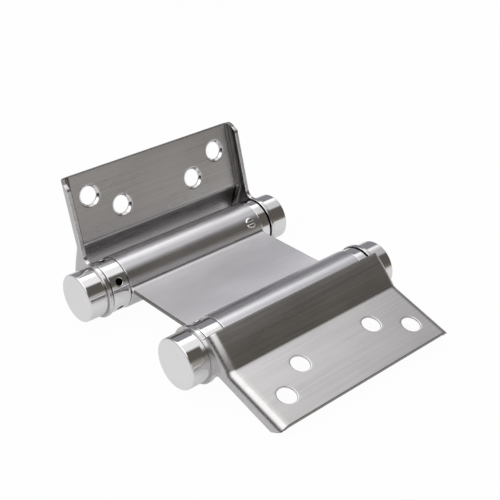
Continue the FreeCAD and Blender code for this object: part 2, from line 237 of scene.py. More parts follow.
class Shell:
    """Vertices and faces of one piece, gathered from grids of points."""

    def __init__(self):
        self.points = []
        self.faces = []
        self.finishes = []
        self.count = 0

    def add(self, grid, close_rows=False, close_columns=False, keep=None, finish=FACE):
        """Adds a grid (rows, columns, xyz). Each four neighbours make a face, unless keep is false for that cell.
        The faces wear the piece's finish of that number."""
        rows, columns = grid.shape[:2]
        index = self.count + np.arange(rows * columns).reshape(rows, columns)
        if close_rows:
            index = np.concatenate([index, index[:1]], axis=0)
        if close_columns:
            index = np.concatenate([index, index[:, :1]], axis=1)
        quads = np.stack([index[:-1, :-1], index[1:, :-1], index[1:, 1:], index[:-1, 1:]], axis=-1)
        quads = quads.reshape(-1, 4) if keep is None else quads[keep]
        self.points.append(grid.reshape(-1, 3))
        self.faces.extend(quads.tolist())
        self.finishes.extend([finish] * len(quads))
        self.count += rows * columns

    def add_polygon(self, loop, finish=FACE):
        """Adds one flat face inside a closed loop of points."""
        self.points.append(loop)
        self.faces.append(list(range(self.count, self.count + len(loop))))
        self.finishes.append(finish)
        self.count += len(loop)

    def build(self, name, place):
        """Makes the object, welds the grids' shared borders and turns every face outward."""
        points = np.concatenate(self.points)
        turn = np.array(place)
        points = points @ turn[:3, :3].T + turn[:3, 3]
        mesh = bpy.data.meshes.new(name)
        mesh.from_pydata(points.tolist(), [], self.faces)
        mesh.polygons.foreach_set("material_index", self.finishes)
        work = bmesh.new()
        work.from_mesh(mesh)
        bmesh.ops.remove_doubles(work, verts=work.verts, dist=WELD)
        bmesh.ops.dissolve_degenerate(work, edges=work.edges, dist=FLAT_EDGE)
        bmesh.ops.recalc_face_normals(work, faces=work.faces)
        work.to_mesh(mesh)
        work.free()
        mesh.shade_smooth()
        piece = bpy.data.objects.new(name, mesh)
        bpy.context.scene.collection.objects.link(piece)
        even = piece.modifiers.new("even_normals", "WEIGHTED_NORMAL")
        even.keep_sharp = True
        return piece


def seat(piece, node, slot, *finishes):
    """The piece stands for a node, rides on the node's body and takes its finishes."""
    body = frame["nodes"][node]["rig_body"]
    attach(piece, body)
    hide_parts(node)
    for finish in finishes:
        piece.data.materials.append(finish_of(finish))


def lattice(breaks, cells):
    """Places from one break to the next in equal steps, so many cells to each stretch."""
    steps = np.concatenate([[0], np.cumsum(cells)])
    return np.interp(np.arange(steps[-1] + 1), steps, breaks)


def middles(places):
    """Middles between neighbouring places."""
    return (places[1:] + places[:-1]) / 2


def on_pin(side, turn=0.0):
    """Matrix from a pin's own frame to the hinge: turned from X towards Z about the pin, then moved to it."""
    return Matrix.Translation(AXES[side]) @ Matrix.Rotation(-turn, 4, "Y")


def unit(ways):
    """Each way divided by its length."""
    return ways / np.linalg.norm(ways, axis=-1, keepdims=True)


def heading(angles):
    """Ways of length one at angles from the first axis to the second: cosine and sine."""
    return np.stack([np.cos(angles), np.sin(angles)], -1)


def bearing(way):
    """Angle of a way from the first axis."""
    return math.atan2(way[1], way[0])


def rounded(corners, radii, steps):
    """Line through corners with each inner corner replaced by an arc that touches both of its sides."""
    corners = np.array(corners, float)
    points = [corners[:1]]
    for before, corner, after, radius in zip(corners, corners[1:], corners[2:], radii):
        back, ahead = unit(before - corner), unit(after - corner)
        half = math.acos(np.clip(back @ ahead, -1, 1)) / 2
        middle = unit(back + ahead)
        centre = corner + middle * radius / math.sin(half)
        sweep = np.linspace(-(math.pi / 2 - half), math.pi / 2 - half, steps + 1)[:, None]
        points.append(centre - radius * np.cos(sweep) * middle + radius * np.sin(sweep) * unit(ahead - back))
    points.append(corners[-1:])
    return np.concatenate(points)


def turned(profile, steps=128, begin=0.0):
    """Surface of revolution about the pin: (radius cos a, y, radius sin a) for a round the full circle."""
    angles = begin + np.linspace(0, 2 * np.pi, steps, endpoint=False)[:, None]
    radius, along = profile[:, 0][None], profile[:, 1][None]
    return np.stack([radius * np.cos(angles), along + 0 * angles, radius * np.sin(angles)], axis=-1)


def on_square(cells):
    """Corners of a square's border in units of its half side, evenly spaced, once round."""
    run = np.linspace(-1, 1, cells, endpoint=False)
    one = np.ones_like(run)
    return np.concatenate([np.stack(pair, 1) for pair in ((run, -one), (one, run), (-run, one), (-one, -run))])


def rows_between(first, last, rows):
    """Rows from one loop of points to another, each point moving straight in equal steps."""
    share = np.linspace(0, 1, rows)[:, None, None]
    return first[None] * (1 - share) + last[None] * share


# Leaf

SQUARE = 0.005  # half side of the square that a screw hole's ring fills


def square_sides(places):
    """Where the sides of the squares round some places lie, in order."""
    return sorted(place + way * SQUARE for place in places for way in (-1, 1))


class Leaf:
    """One leaf as a folded sheet: u out along the wing, v out of its mounting face, y along the pin.

    A place on the sheet is s, the way along its section from the hood's edge, and c, the way across from its
    middle, both measured on the outside. A third value is the depth into the sheet.
    """

    def __init__(self, sizes):
        self.sizes = sizes
        self.bend = sizes.ear_bend_radius
        self.flat = LEAF_HEIGHT / 2 - self.bend
        edge = (BARREL_RADIUS + sizes.hood_gap + sizes.sheet) * heading(sizes.hood_edge_angle)
        chord = np.array([sizes.crease_place, WING_FACE]) - edge
        span = np.linalg.norm(chord)
        inward = np.array([chord[1], -chord[0]]) / span
        self.arch = edge + chord / 2 + inward * math.sqrt(sizes.hood_bulge_radius ** 2 - (span / 2) ** 2)
        height = WING_FACE + sizes.crease_radius
        reach = sizes.hood_bulge_radius + sizes.crease_radius
        self.fold = np.array([self.arch[0] + math.sqrt(reach ** 2 - (height - self.arch[1]) ** 2), height])
        self.edge_angle = bearing(edge - self.arch)
        self.fold_angle = bearing(self.fold - self.arch)
        self.hood_run = sizes.hood_bulge_radius * (self.edge_angle - self.fold_angle)
        self.wing_start = self.hood_run + sizes.crease_radius * (math.pi / 2 - self.fold_angle)
        self.tip = sizes.wing_free_edge - sizes.ear_tip_cut
        self.neck = np.array([0.0, sizes.ear_edge - sizes.ear_neck_radius])
        self.neck[0] = math.sqrt((sizes.ear_radius + sizes.ear_neck_radius) ** 2 - self.neck[1] ** 2)

    def section(self, s):
        """Outside of the section at s, with its outward normal: an arch, then a fold the other way, then a line."""
        sizes = self.sizes
        arch_way = heading(self.edge_angle - s / sizes.hood_bulge_radius)
        fold_way = heading(self.fold_angle + math.pi + (s - self.hood_run) / sizes.crease_radius)
        wing = np.stack([self.fold[0] + s - self.wing_start, WING_FACE + 0 * s], -1)
        up = np.stack([0 * s, 1 + 0 * s], -1)
        in_hood = (s <= self.hood_run)[..., None]
        in_fold = (s <= self.wing_start)[..., None]
        point = np.where(in_hood, self.arch + sizes.hood_bulge_radius * arch_way,
                         np.where(in_fold, self.fold + sizes.crease_radius * fold_way, wing))
        return point, np.where(in_hood, arch_way, np.where(in_fold, -fold_way, up))

    def place(self, s, c, depth, inset):
        """Point of the sheet. Across the middle it is flat, then it turns by c over the bend's radius, up to a
        quarter turn, and depth is measured along the sheet's own normal. The wing's end follows the cut tip."""
        point, normal = self.section(s)
        turn = np.clip((np.abs(c) - self.flat) / self.bend, 0, math.pi / 2)
        y = np.sign(c) * (np.minimum(np.abs(c), self.flat) + (self.bend - depth) * np.sin(turn))
        below = self.bend - (self.bend - depth) * np.cos(turn)
        flat = point - normal * below[..., None]
        u, v = flat[..., 0], flat[..., 1]
        return np.stack([self.cut_to_tip(u, v, inset), y, v], -1)

    def tip_reach(self, v, inset):
        """How far the slanting cut of the ears' tips lets the sheet reach at a height v: a line at 45 degrees."""
        return self.tip - self.sizes.ear_edge + v - math.sqrt(2) * inset

    def cut_to_tip(self, u, v, inset):
        """Draws the last stretch of the wing, four roundings before the tip, back to the slanting cut."""
        free = self.sizes.wing_free_edge - inset
        start = self.tip - 4 * self.sizes.edge_round
        end = np.minimum(free, self.tip_reach(v, inset))
        return np.where(u > start, start + (u - start) * (end - start) / (free - start), u)

    def along(self, inset):
        """Values of s for the columns: the hood, the fold, and the wing with lines at the screw holes' squares."""
        wing = self.wing_lines() - self.fold[0] + self.wing_start
        wing[-1] -= inset
        hood = np.linspace(inset, self.hood_run, HOOD_POINTS)
        fold = np.linspace(self.hood_run, self.wing_start, FOLD_POINTS)
        return np.concatenate([hood[:-1], fold[:-1], wing])

    def wing_lines(self):
        """Places of the wing's columns along u, with lines at the sides of the screw holes' squares."""
        sides = square_sides(reach for reach, _ in SCREW_PAIRS)
        return lattice([self.fold[0], *sides, self.sizes.wing_free_edge], WING_CELLS)

    def cross_lines(self):
        """Places of the flat rows along y from the middle, with lines at the sides of the screw holes' squares."""
        return lattice([0.0, *square_sides(off for _, off in SCREW_PAIRS), self.flat], CROSS_CELLS)

    def across(self):
        """Values of c for the rows, from one ear to the other: bend, flat and bend."""
        bend = np.linspace(self.flat, self.flat + self.bend * math.pi / 2, BEND_POINTS)
        half = np.concatenate([self.cross_lines(), bend[1:]])
        return np.concatenate([-half[:0:-1], half])

    def round_end(self, inset):
        """Radius of the ear's round end, and where the line down from the hood's edge meets it."""
        radius = self.sizes.ear_radius - inset
        point, normal = self.section(np.array(inset))
        along = point @ normal
        below = along - math.sqrt(along ** 2 - point @ point + radius ** 2)
        return radius, point - normal * max(below, self.bend)

    def outline(self, inset):
        """Ear's free outline from the wing's end round to the bend: cut tip, free edge, neck and round end."""
        sizes = self.sizes
        v = WING_FACE - self.bend
        tip_v = sizes.ear_edge + inset
        top = np.array([[self.tip_reach(v, inset), v]])
        edge = np.stack([np.linspace(self.tip_reach(tip_v, inset), self.neck[0], EAR_EDGE_POINTS),
                         np.full(EAR_EDGE_POINTS, tip_v)], -1)
        start = bearing(-self.neck) % (2 * math.pi)
        hollow = heading(np.linspace(math.pi / 2, start, NECK_POINTS))
        hollow = self.neck + (sizes.ear_neck_radius + inset) * hollow
        radius, end = self.round_end(inset)
        disc = radius * heading(np.linspace(start - math.pi, bearing(end) - 2 * math.pi, EAR_END_POINTS))
        return np.concatenate([top, edge, hollow[1:], disc[1:]])

    def sheets(self, inset, depth):
        """Grid of one skin's middle with both bends, and the free outlines of its two ears."""
        s, c = np.meshgrid(self.along(inset), self.across(), indexing="ij")
        middle = self.place(s, c, depth + 0 * s, inset)
        outline = self.outline(inset)
        y = np.full(len(outline), LEAF_HEIGHT / 2 - depth)
        ears = [np.stack([outline[:, 0], hand * y, outline[:, 1]], -1) for hand in (-1, 1)]
        return middle, ears

    def border(self, inset, depth):
        """Closed loop along every free edge: wing's end, one ear, hood's edge, other ear."""
        middle, ears = self.sheets(inset, depth)
        return np.concatenate([middle[-1], ears[1][1:], middle[0, ::-1], ears[0][:0:-1]])

    def on_wing(self, flat, reach, y, depth):
        """Points given in the wing's own plane, about a hole, as places in the leaf's frame."""
        height = np.broadcast_to(WING_FACE - depth, flat.shape[:2])
        return np.stack([reach + flat[..., 0], y + flat[..., 1], height], -1)

    def add_skin(self, shell, depth, hole, ear_finish):
        """Adds one face of the sheet, with square openings round the screw holes filled by rings. The ears and
        their bends may wear another finish than the middle."""
        middle, ears = self.sheets(self.sizes.edge_round, depth)
        u, half = middles(self.wing_lines()), middles(self.cross_lines())
        y = np.concatenate([-half[::-1], half])
        keep = np.ones((len(middle) - 1, len(y)), bool)
        border = on_square(HOLE_CELLS) * SQUARE
        flat_ring = rows_between(border, hole * unit(border), HOLE_ROWS)
        for reach, place in SCREW_PLACES:
            keep[-len(u):] &= (np.abs(u - reach)[:, None] >= SQUARE) | (np.abs(y - place)[None] >= SQUARE)
            shell.add(self.on_wing(flat_ring, reach, place, depth), close_columns=True)
        bend = BEND_POINTS - 1
        shell.add(middle[:, bend:-bend], keep=keep)
        for columns in (slice(None, bend + 1), slice(-bend - 1, None)):
            shell.add(middle[:, columns], finish=ear_finish)
        for bend_end, ear in zip((middle[:, 0], middle[:, -1]), ears):
            shell.add_polygon(np.concatenate([bend_end[:-1], ear]), ear_finish)

    def add_edge(self, shell):
        """Adds the border, drawn in and sunk by a quarter circle at each face of the sheet. Along the wing's end
        and the hood it wears the dark sheared edge, whose colour is partly painted shade, and round the ears it is
        bright."""
        soft = self.sizes.edge_round
        drawn, sunk = soft * (1 - np.sin(ROUNDING)), soft * (1 - np.cos(ROUNDING))
        inset = np.concatenate([drawn, sunk])
        depth = np.concatenate([sunk, self.sizes.sheet - drawn])
        edge = np.stack([self.border(i, d) for i, d in zip(inset, depth)])
        edge = np.concatenate([edge, edge[:, :1]], axis=1)
        wing_end = len(self.across())
        ear_end = wing_end + len(self.outline(soft)) - 1
        stops = [0, wing_end - 1, ear_end - 1, ear_end + wing_end - 1, edge.shape[1] - 1]
        for start, stop, finish in zip(stops, stops[1:], (SHADED_CUT, BRIGHT, SHADED_CUT, BRIGHT)):
            shell.add(edge[:, start:stop + 1], finish=finish)

    def add_countersinks(self, shell):
        """Adds the walls of the screw holes: a short bore and a cone of 45 degrees, rounded at both faces."""
        soft, sheet, wide = self.sizes.edge_round, self.sizes.sheet, self.sizes.countersink_radius
        corners = [(SCREW_BORE + 2 * soft, 0), (SCREW_BORE, 0), (SCREW_BORE, sheet - (wide - SCREW_BORE)),
                   (wide, sheet), (wide + 2 * soft, sheet)]
        wall = rounded(corners, [soft, soft, soft / math.tan(math.pi / 8)], 4)[1:-1]
        circles = wall[:, :1, None] * unit(on_square(HOLE_CELLS))[None]
        for reach, place in SCREW_PLACES:
            shell.add(self.on_wing(circles, reach, place, wall[:, 1:]), close_columns=True, finish=BRIGHT)

    def build(self, side):
        """Two skins, a rounded edge carried along the border, and four countersunk holes."""
        sizes = self.sizes
        shell = Shell()
        self.add_skin(shell, 0.0, SCREW_BORE + sizes.edge_round, FACE)
        # The inner skin's ears and bends wear the smooth unbrushed sheet, darkened with painted shade
        self.add_skin(shell, sizes.sheet, sizes.countersink_radius + sizes.edge_round, SHADED_MILL)
        self.add_edge(shell)
        self.add_countersinks(shell)
        return shell.build("pressed_leaf_" + side, on_pin(side, LEAF_LEANS[side])), "leaf_" + side


# Centre plate

def plate_tilt(sizes):
    """Angle of the flat plate to the line from pin to pin: it passes above pin A and below pin B."""
    return math.asin(2 * sizes.plate_offset / PIN_SPACING)


def plate_path(sizes):
    """Middle line of half the plate from its middle to barrel A's seam, with its normal away from the bore.

    A straight run, then a bend of the neck's radius plus half the sheet, then the roll at the barrel's radius
    less half the sheet, closed under the plate.
    """
    half = sizes.sheet / 2
    pin = np.array([-math.sqrt((PIN_SPACING / 2) ** 2 - sizes.plate_offset ** 2), -sizes.plate_offset])
    neck = half + sizes.roll_neck_radius
    reach = BARREL_RADIUS + sizes.roll_neck_radius
    fillet = np.array([pin[0] + math.sqrt(reach ** 2 - (neck - pin[1]) ** 2), neck])
    start = bearing(fillet - pin)
    seam = 2 * math.pi + math.asin((-half - sizes.roll_seam_gap - pin[1]) / BARREL_RADIUS)
    run = np.linspace(0, fillet[0], FLAT_POINTS)
    bend_way = heading(np.linspace(-math.pi / 2, start - math.pi, BEND_POINTS))[1:]
    roll_way = heading(np.linspace(start, seam, ROLL_POINTS))[1:]
    flat = np.stack([run, 0 * run], -1)
    up = np.stack([0 * run, 1 + 0 * run], -1)
    points = np.concatenate([flat, fillet + neck * bend_way, pin + (BARREL_RADIUS - half) * roll_way])
    return points, np.concatenate([up, -bend_way, roll_way])


def build_plate(sizes):
    """A rounded rectangle, the sheet's thickness by the barrels' length, carried along the S of plate and rolls.
    The two long edges are bright on the rolls and, on the flat, dark with a colour that is partly painted shade."""
    soft = sizes.edge_round
    front, back = BARREL_FRONT + soft, BARREL_BACK - soft
    arc = soft * heading(ROUNDING)
    middle = sizes.sheet / 2 - soft
    corners = [np.array([middle, back]) + arc, np.array([-middle, back]) + arc[::-1] * (-1, 1),
               np.array([-middle, front]) - arc, np.array([middle, front]) + arc[::-1] * (1, -1)]
    profile = np.concatenate(corners)
    points, normals = plate_path(sizes)
    points = np.concatenate([-points[:0:-1], points])
    normals = np.concatenate([normals[:0:-1], normals])
    out = points[:, None] + normals[:, None] * profile[None, :, :1]
    grid = np.stack([out[..., 0], np.broadcast_to(profile[:, 1], out.shape[:2]), out[..., 1]], -1)
    shell = Shell()
    edge = 2 * len(ROUNDING)
    for columns in ([-1, 0], [edge - 1, edge]):
        shell.add(grid[:, columns])
    rolls = len(points) // 2 - (FLAT_POINTS - 1)
    for columns in (range(edge), range(edge, 2 * edge)):
        for rows, finish in ((slice(None, rolls + 1), BRIGHT), (slice(rolls, -rolls), SHADED_CUT),
                             (slice(-rolls - 1, None), BRIGHT)):
            shell.add(grid[rows, columns], finish=finish)
    shell.add_polygon(grid[0])
    shell.add_polygon(grid[-1])
    place = Matrix.Translation((AXES["a"] + AXES["b"]) / 2) @ Matrix.Rotation(plate_tilt(sizes), 4, "Y")
    return shell.build("rolled_centre_plate", place), "centre_plate"


# Turned pieces

# Clearances as shares of the collars' rounding: shank of a fixed and of an adjusting collar, and flange
FIXED_FIT, ADJUSTING_FIT, FLANGE_FIT = 1 / 8, 1 / 4, 1 / 2
WASHER_TRIM = 1.1  # share of the collar's reach that a washer gives way by


def turned_piece(finish, node, side, profile, **closed):
    """Piece that stands for a round node: a profile turned about the pin."""
    shell = Shell()
    shell.add(turned(profile), close_rows=True, **closed)
    return shell.build(finish + node, on_pin(side)), node


def build_cap(sizes, side, end):
    """Round cap standing on the ear: a flat face, a side and a base with rounded rims, turned about the pin."""
    node = "%s_cap_%s" % (end, side)
    low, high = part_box(node)
    face, base = (low.y, high.y) if end == "front" else (high.y, low.y)
    radius = half_width(node)
    corners = [(0, face), (radius, face), (radius, base), (0, base)]
    profile = rounded(corners, [sizes.cap_round, sizes.collar_round], 8)
    return turned_piece("polished_", node, side, profile)


def collar_profile(sizes, radius, near, far, shank, shank_end):
    """Flange with rounded rims and a slimmer shank that goes into the barrel."""
    soft = sizes.collar_round
    corners = [(0, far), (radius, far), (radius, near), (shank, near), (shank, shank_end), (0, shank_end)]
    return rounded(corners, [soft, soft, soft / 4, soft], 5)


def build_fixed_collar(sizes, side):
    """Plain collar at the back end: its profile turned about the pin."""
    node = "fixed_collar_" + side
    low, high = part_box(node)
    soft = sizes.collar_round
    near, far = BARREL_BACK + soft * FLANGE_FIT, high.y + sizes.collar_reach
    shank = BARREL_RADIUS - sizes.sheet - soft * FIXED_FIT
    profile = collar_profile(sizes, half_width(node), near, far, shank, low.y)
    return turned_piece("bright_", node, side, profile)


def build_adjusting_collar(sizes, side):
    """Collar with tommy bar holes. Each share of the flange's round is a patch with a ring round its hole:
    a flat patch of angle and length is wrapped on the round, and each hole is a tube toward the pin."""
    node = "adjusting_collar_" + side
    low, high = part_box(node)
    radius = half_width(node)
    soft = sizes.collar_round
    far, near = low.y - sizes.collar_reach, BARREL_FRONT - soft * FLANGE_FIT
    shank = BARREL_RADIUS - sizes.sheet - soft * ADJUSTING_FIT
    rim = collar_profile(sizes, radius, near, far, shank, high.y)
    bottom, top = far + soft, near - soft
    split = np.argmin(np.abs(rim[:, 1] - bottom) + np.abs(rim[:, 0] - radius)) + 1
    share = 2 * math.pi / sizes.tommy_hole_count
    first = sizes.tommy_angles[SIDES.index(side)]
    shell = Shell()
    for part in (rim[:split], rim[split:]):
        shell.add(turned(part, PATCH_CELLS * sizes.tommy_hole_count, first - share / 2), close_rows=True)
    middle = (bottom + top) / 2
    border = on_square(PATCH_CELLS) * (share / 2, (top - bottom) / 2)
    hole, depth = sizes.tommy_hole_radius, sizes.tommy_hole_depth
    way = unit(border * (radius, 1))
    circle = (hole + soft) * way
    circle[:, 0] = np.arcsin(circle[:, 0] / radius)
    flat = rows_between(border, circle, TOMMY_ROWS)
    wall = rounded([(hole + 2 * soft, 0), (hole, 0), (hole, depth), (0, depth)], [soft, soft], 4)[1:]
    across, along = wall[:, :1] * way[None, :, 0], wall[:, :1] * way[None, :, 1]
    out = np.sqrt(np.maximum(radius ** 2 - across ** 2, 0)) - wall[:, 1:]
    for index in range(sizes.tommy_hole_count):
        turn = first + index * share
        round_pin = turn + flat[..., 0]
        shell.add(np.stack([radius * np.cos(round_pin), middle + flat[..., 1], radius * np.sin(round_pin)], -1),
                  close_columns=True)
        shell.add(np.stack([out * math.cos(turn) - across * math.sin(turn), middle + along,
                            out * math.sin(turn) + across * math.cos(turn)], -1), close_columns=True)
    return shell.build("bright_" + node, on_pin(side)), node


def build_washer(sizes, side, end):
    """Thin flat ring: its section turned about the pin, trimmed on the side of the collar."""
    node = "%s_washer_%s" % (end, side)
    low, high = (corner.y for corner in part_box(node))
    if end == "front":
        high -= WASHER_TRIM * sizes.collar_reach
    else:
        low += WASHER_TRIM * sizes.collar_reach
    bore, radius = half_width("pintle_" + side), half_width(node)
    soft = sizes.collar_round / 5
    middle = (low + high) / 2
    corners = [(bore, middle), (bore, low), (radius, low), (radius, high), (bore, high), (bore, middle)]
    return turned_piece("ground_", node, side, rounded(corners, [soft] * 4, 3), close_columns=True)


def build_screw(sizes, side):
    """Low domed head with a slot: a disc of chords x from side to side and q along each chord, whose height is a
    dome less the slot's depth between the two walls of the slot."""
    node = "collar_screw_" + side
    radius = sizes.screw_head_radius
    rise, sunk, foot = 0.2 * radius, 0.04 * radius, 0.8 * radius
    half = sizes.screw_slot / 2
    wall = half / 50
    x = -radius * np.cos(np.linspace(0, math.pi / 2, HEAD_POINTS)[:-1])
    x = np.concatenate([x[x < -half * 1.5], [-half - wall, -half + wall, 0]])
    x = np.concatenate([x, -x[-2::-1]])
    q = np.sin(np.linspace(-math.pi / 2, math.pi / 2, CHORD_POINTS))
    x, q = np.meshgrid(x, q, indexing="ij")
    y = q * np.sqrt(np.maximum(radius ** 2 - x ** 2, 0))
    far = np.sqrt(x ** 2 + y ** 2) / radius
    dome = BARREL_RADIUS + rise * (1 - far ** 6) - sunk
    slot = np.where(np.abs(x) < half, sizes.screw_slot_depth, 0.0)
    top = np.stack([x, y, dome - slot], -1)
    base = np.stack([x, y, np.full_like(x, BARREL_RADIUS - foot)], -1)
    shell = Shell()
    shell.add(top)
    shell.add(base)
    for pair in ((top[0], base[0]), (top[-1], base[-1]), (top[:, 0], base[:, 0]), (top[:, -1], base[:, -1])):
        shell.add(np.stack(pair))
    half_turn = math.pi if side == "b" else 0.0
    place = (on_pin(side, half_turn - plate_tilt(sizes) + sizes.screw_angle - math.pi / 2)
             @ Matrix.Translation((0, middle_of(node).y, 0)))
    return shell.build("slotted_" + node, place), node


# Finishes

def both_ways(operation):
    """An operator that adds a Math node of that operation, and its reflected form."""
    return (lambda self, other: self.math(operation, self, other),
            lambda self, other: self.math(operation, other, self))


class Socket:
    """A shader value. Sums, differences, products and quotients of these add Math nodes to its finish."""
    __add__, __radd__ = both_ways("ADD")
    __sub__, __rsub__ = both_ways("SUBTRACT")
    __mul__, __rmul__ = both_ways("MULTIPLY")
    __truediv__, __rtruediv__ = both_ways("DIVIDE")

    def __init__(self, finish, link):
        self.finish = finish
        self.link = link

    def math(self, operation, first, second=0.0):
        """Adds one Math node."""
        return self.finish.node("ShaderNodeMath", {"operation": operation}, {0: first, 1: second})

    def __abs__(self):
        return self.math("ABSOLUTE", self)

    def root(self):
        """Square root."""
        return self.math("SQRT", self)

    def step(self, low, high):
        """Smooth rise from 0 at low to 1 at high."""
        return self.finish.node("ShaderNodeMapRange", {"interpolation_type": "SMOOTHSTEP"},
                                {"Value": self, "From Min": low, "From Max": high, "To Min": 0.0, "To Max": 1.0})

    def between(self, rise, fall):
        """1 between two soft edges and 0 outside them."""
        return self.step(*rise) * (1.0 - self.step(*fall))


class Finish:
    """A node tree with one method that adds any node."""

    def __init__(self, name, tree=None):
        if tree is None:
            self.material = bpy.data.materials.new(name)
            self.material.use_nodes = True
            tree = self.material.node_tree
        self.tree = tree
        tree.nodes.clear()

    def node(self, kind, settings=None, inputs=None, output=0):
        """Adds a node, sets its settings, then gives its sockets their values or links."""
        node = self.tree.nodes.new(kind)
        for name, value in (settings or {}).items():
            setattr(node, name, value)
        for name, value in (inputs or {}).items():
            if isinstance(value, Socket):
                self.tree.links.new(value.link, node.inputs[name])
            else:
                node.inputs[name].default_value = value
        return Socket(self, node.outputs[output]) if node.outputs else None

    def axes(self, source="Object"):
        """X, Y and Z of the place on a piece, or of the direction in a world, where the source is Generated."""
        way = self.node("ShaderNodeTexCoord", output=source)
        first = self.node("ShaderNodeSeparateXYZ", inputs={"Vector": way})
        return [Socket(self, link) for link in first.link.node.outputs]

    def noise(self, cells, detail=2.0):
        """Noise from 0 to 1 on Object coordinates, with so many cells to a metre along each axis."""
        way = self.node("ShaderNodeTexCoord", output="Object")
        place = self.node("ShaderNodeMapping", inputs={"Vector": way, "Scale": cells})
        return self.node("ShaderNodeTexNoise", inputs={"Vector": place, "Scale": 1.0, "Detail": detail})

    def blend(self, share, first, second):
        """Colour between two colours by a share, on a Mix node's sockets for colours."""
        return self.node("ShaderNodeMix", {"data_type": "RGBA"}, {0: share, 6: first, 7: second}, output=2)

    def shade(self, share, tint, low, high):
        """Tint from a low to a high level by a share."""
        return self.blend(share, rgba(tint, low), rgba(tint, high))

    def mix(self, share, first, second):
        """Shader between two shaders by a share."""
        return self.node("ShaderNodeMixShader", inputs={0: share, 1: first, 2: second})

    def bump(self, strength, distance, height):
        """Normal of a fine relief."""
        return self.node("ShaderNodeBump", inputs={"Strength": strength, "Distance": distance, "Height": height})

    def metal(self, base, roughness, normal=None):
        """Metal surface shader as the tree's output."""
        inputs = {"Base Color": base, "Roughness": roughness, "Metallic": 1.0}
        if normal is not None:
            inputs["Normal"] = normal
        self.surface(self.node("ShaderNodeBsdfPrincipled", inputs=inputs))

    def surface(self, shader):
        """Sets the material's output."""
        self.node("ShaderNodeOutputMaterial", inputs={"Surface": shader})


def rgba(values, level=1.0):
    """Four values for a colour socket, brightened or dimmed by a level."""
    return tuple(min(value * level, 1.0) for value in values) + (1.0,)


# Patterns, as cells to a metre along X, Y and Z
GRAIN = (1500.0, 26.0, 1500.0)
STREAKS = (420.0, 8.0, 420.0)
BLOTCHES = (75.0, 50.0, 75.0)
SHEEN = (60.0, 24.0, 60.0)
CUTTING_MARKS = (900.0,) * 3
ROLLING_MARKS = (500.0, 500.0, 120.0)
TURNING_MARKS = (60.0, 5200.0, 60.0)
DRAWING_MARKS = (2400.0, 300.0, 2400.0)
SMUDGES = (160.0,) * 3
CAP_SMUDGES = (170.0,) * 3
CAP_GRAIN = (2600.0,) * 3

# Shares of grain, streaks and blotches in the sheet's tone, and how far grain and blotches change its roughness
TONE_SHARES = (0.45, 0.17, 0.38)
GRAIN_ROUGH, BLOTCH_ROUGH = 0.12, 0.08
SMUDGE_EDGE = (0.45, 0.8)  # noise where a smudge begins and is full
HOLE_SHADE_EDGE = (0.94, 0.975)  # shares of a collar's radius where the painted shade in a hole ends
FACE_DEPTH = 0.00015  # soft edge of a cap's end face


def brushed(f, tint, contrast, roughness):
    """Grain along the pins in colour, roughness and relief, over broader streaks and handling blotches."""
    grain, streak, blotch = f.noise(GRAIN), f.noise(STREAKS), f.noise(BLOTCHES, 3.0)
    tone = grain * TONE_SHARES[0] + streak * TONE_SHARES[1] + blotch * TONE_SHARES[2]
    base = f.shade(tone.step(0.34, 0.66), tint, 1.0 - contrast, 1.0 + contrast)
    mean = roughness - (GRAIN_ROUGH + BLOTCH_ROUGH) / 2
    return base, mean + grain * GRAIN_ROUGH + blotch * BLOTCH_ROUGH, f.bump(0.07, 0.00003, grain)


def brushed_sheet(finishes):
    """Stainless sheet of the leaves, brushed along the pins."""
    f = Finish("brushed_sheet")
    f.metal(*brushed(f, finishes.satin_colour, 0.07, finishes.satin_roughness))


def rolled_sheet(finishes):
    """Paler sheet of the centre plate: barrels smoothed by the rolling, and a duller flat between them with pale
    blotches and a painted reflection that grows paler towards barrel B."""
    f = Finish("rolled_sheet")
    x = f.axes()[0]
    start, end = AXES["a"].x + BARREL_RADIUS, AXES["b"].x - BARREL_RADIUS
    flat = x.step(start, start + MILLIMETRE) - x.step(end - MILLIMETRE, end)
    duller = finishes.plate_roughness - finishes.rolled_roughness
    base, rough, bump = brushed(f, finishes.rolled_colour, 0.1, finishes.rolled_roughness)
    # Pale blotches at random, and a painted reflection that grows paler across the flat towards barrel B
    blotches_and_reflection = f.noise(SHEEN, 3.0).step(0.35, 0.7) * 0.5 + x.step(start / 2, end) * 0.5
    pale_with_reflection = f.shade(blotches_and_reflection, finishes.rolled_colour, 1.02, 1.5)
    f.metal(f.blend(flat * 0.7, base, pale_with_reflection), rough + flat * duller, bump)


def marked_steel(name, cells, tint, low, high, roughness, spread):
    """Smooth steel with fine marks, which take the tint from a low to a high level and spread the roughness."""
    f = Finish(name)
    marks = f.noise(cells, 3.0)
    f.metal(f.shade(marks.step(0.3, 0.7), tint, low, high), roughness + marks * spread)


def bright_steel(finishes):
    """Polished turned steel with very fine turning marks and faint smudges, and painted shade, near black, in the
    holes.

    A hole is where the distance to the nearer pin is well under the collar's radius.
    """
    f = Finish("bright_steel")
    turning, smudge = f.noise(TURNING_MARKS), f.noise(SMUDGES, 3.0)
    x, _, z = f.axes()
    reach = [(x - pin.x) * (x - pin.x) + (z - pin.z) * (z - pin.z) for pin in AXES.values()]
    near = x.math("MINIMUM", *reach).root() / half_width("adjusting_collar_a")
    # Painted shade: inside the holes the steel turns near black and rough
    bore = 1.0 - near.step(*HOLE_SHADE_EDGE)
    polish = f.shade(smudge, finishes.bright_colour, 0.94, 1.06)
    base = f.blend(bore, polish, rgba(finishes.spring_colour, 0.06))
    rough = finishes.bright_roughness + smudge.step(*SMUDGE_EDGE) * 0.05 + turning * 0.03 + bore * 0.4
    f.metal(base, rough, f.bump(0.05, 0.00001, turning))


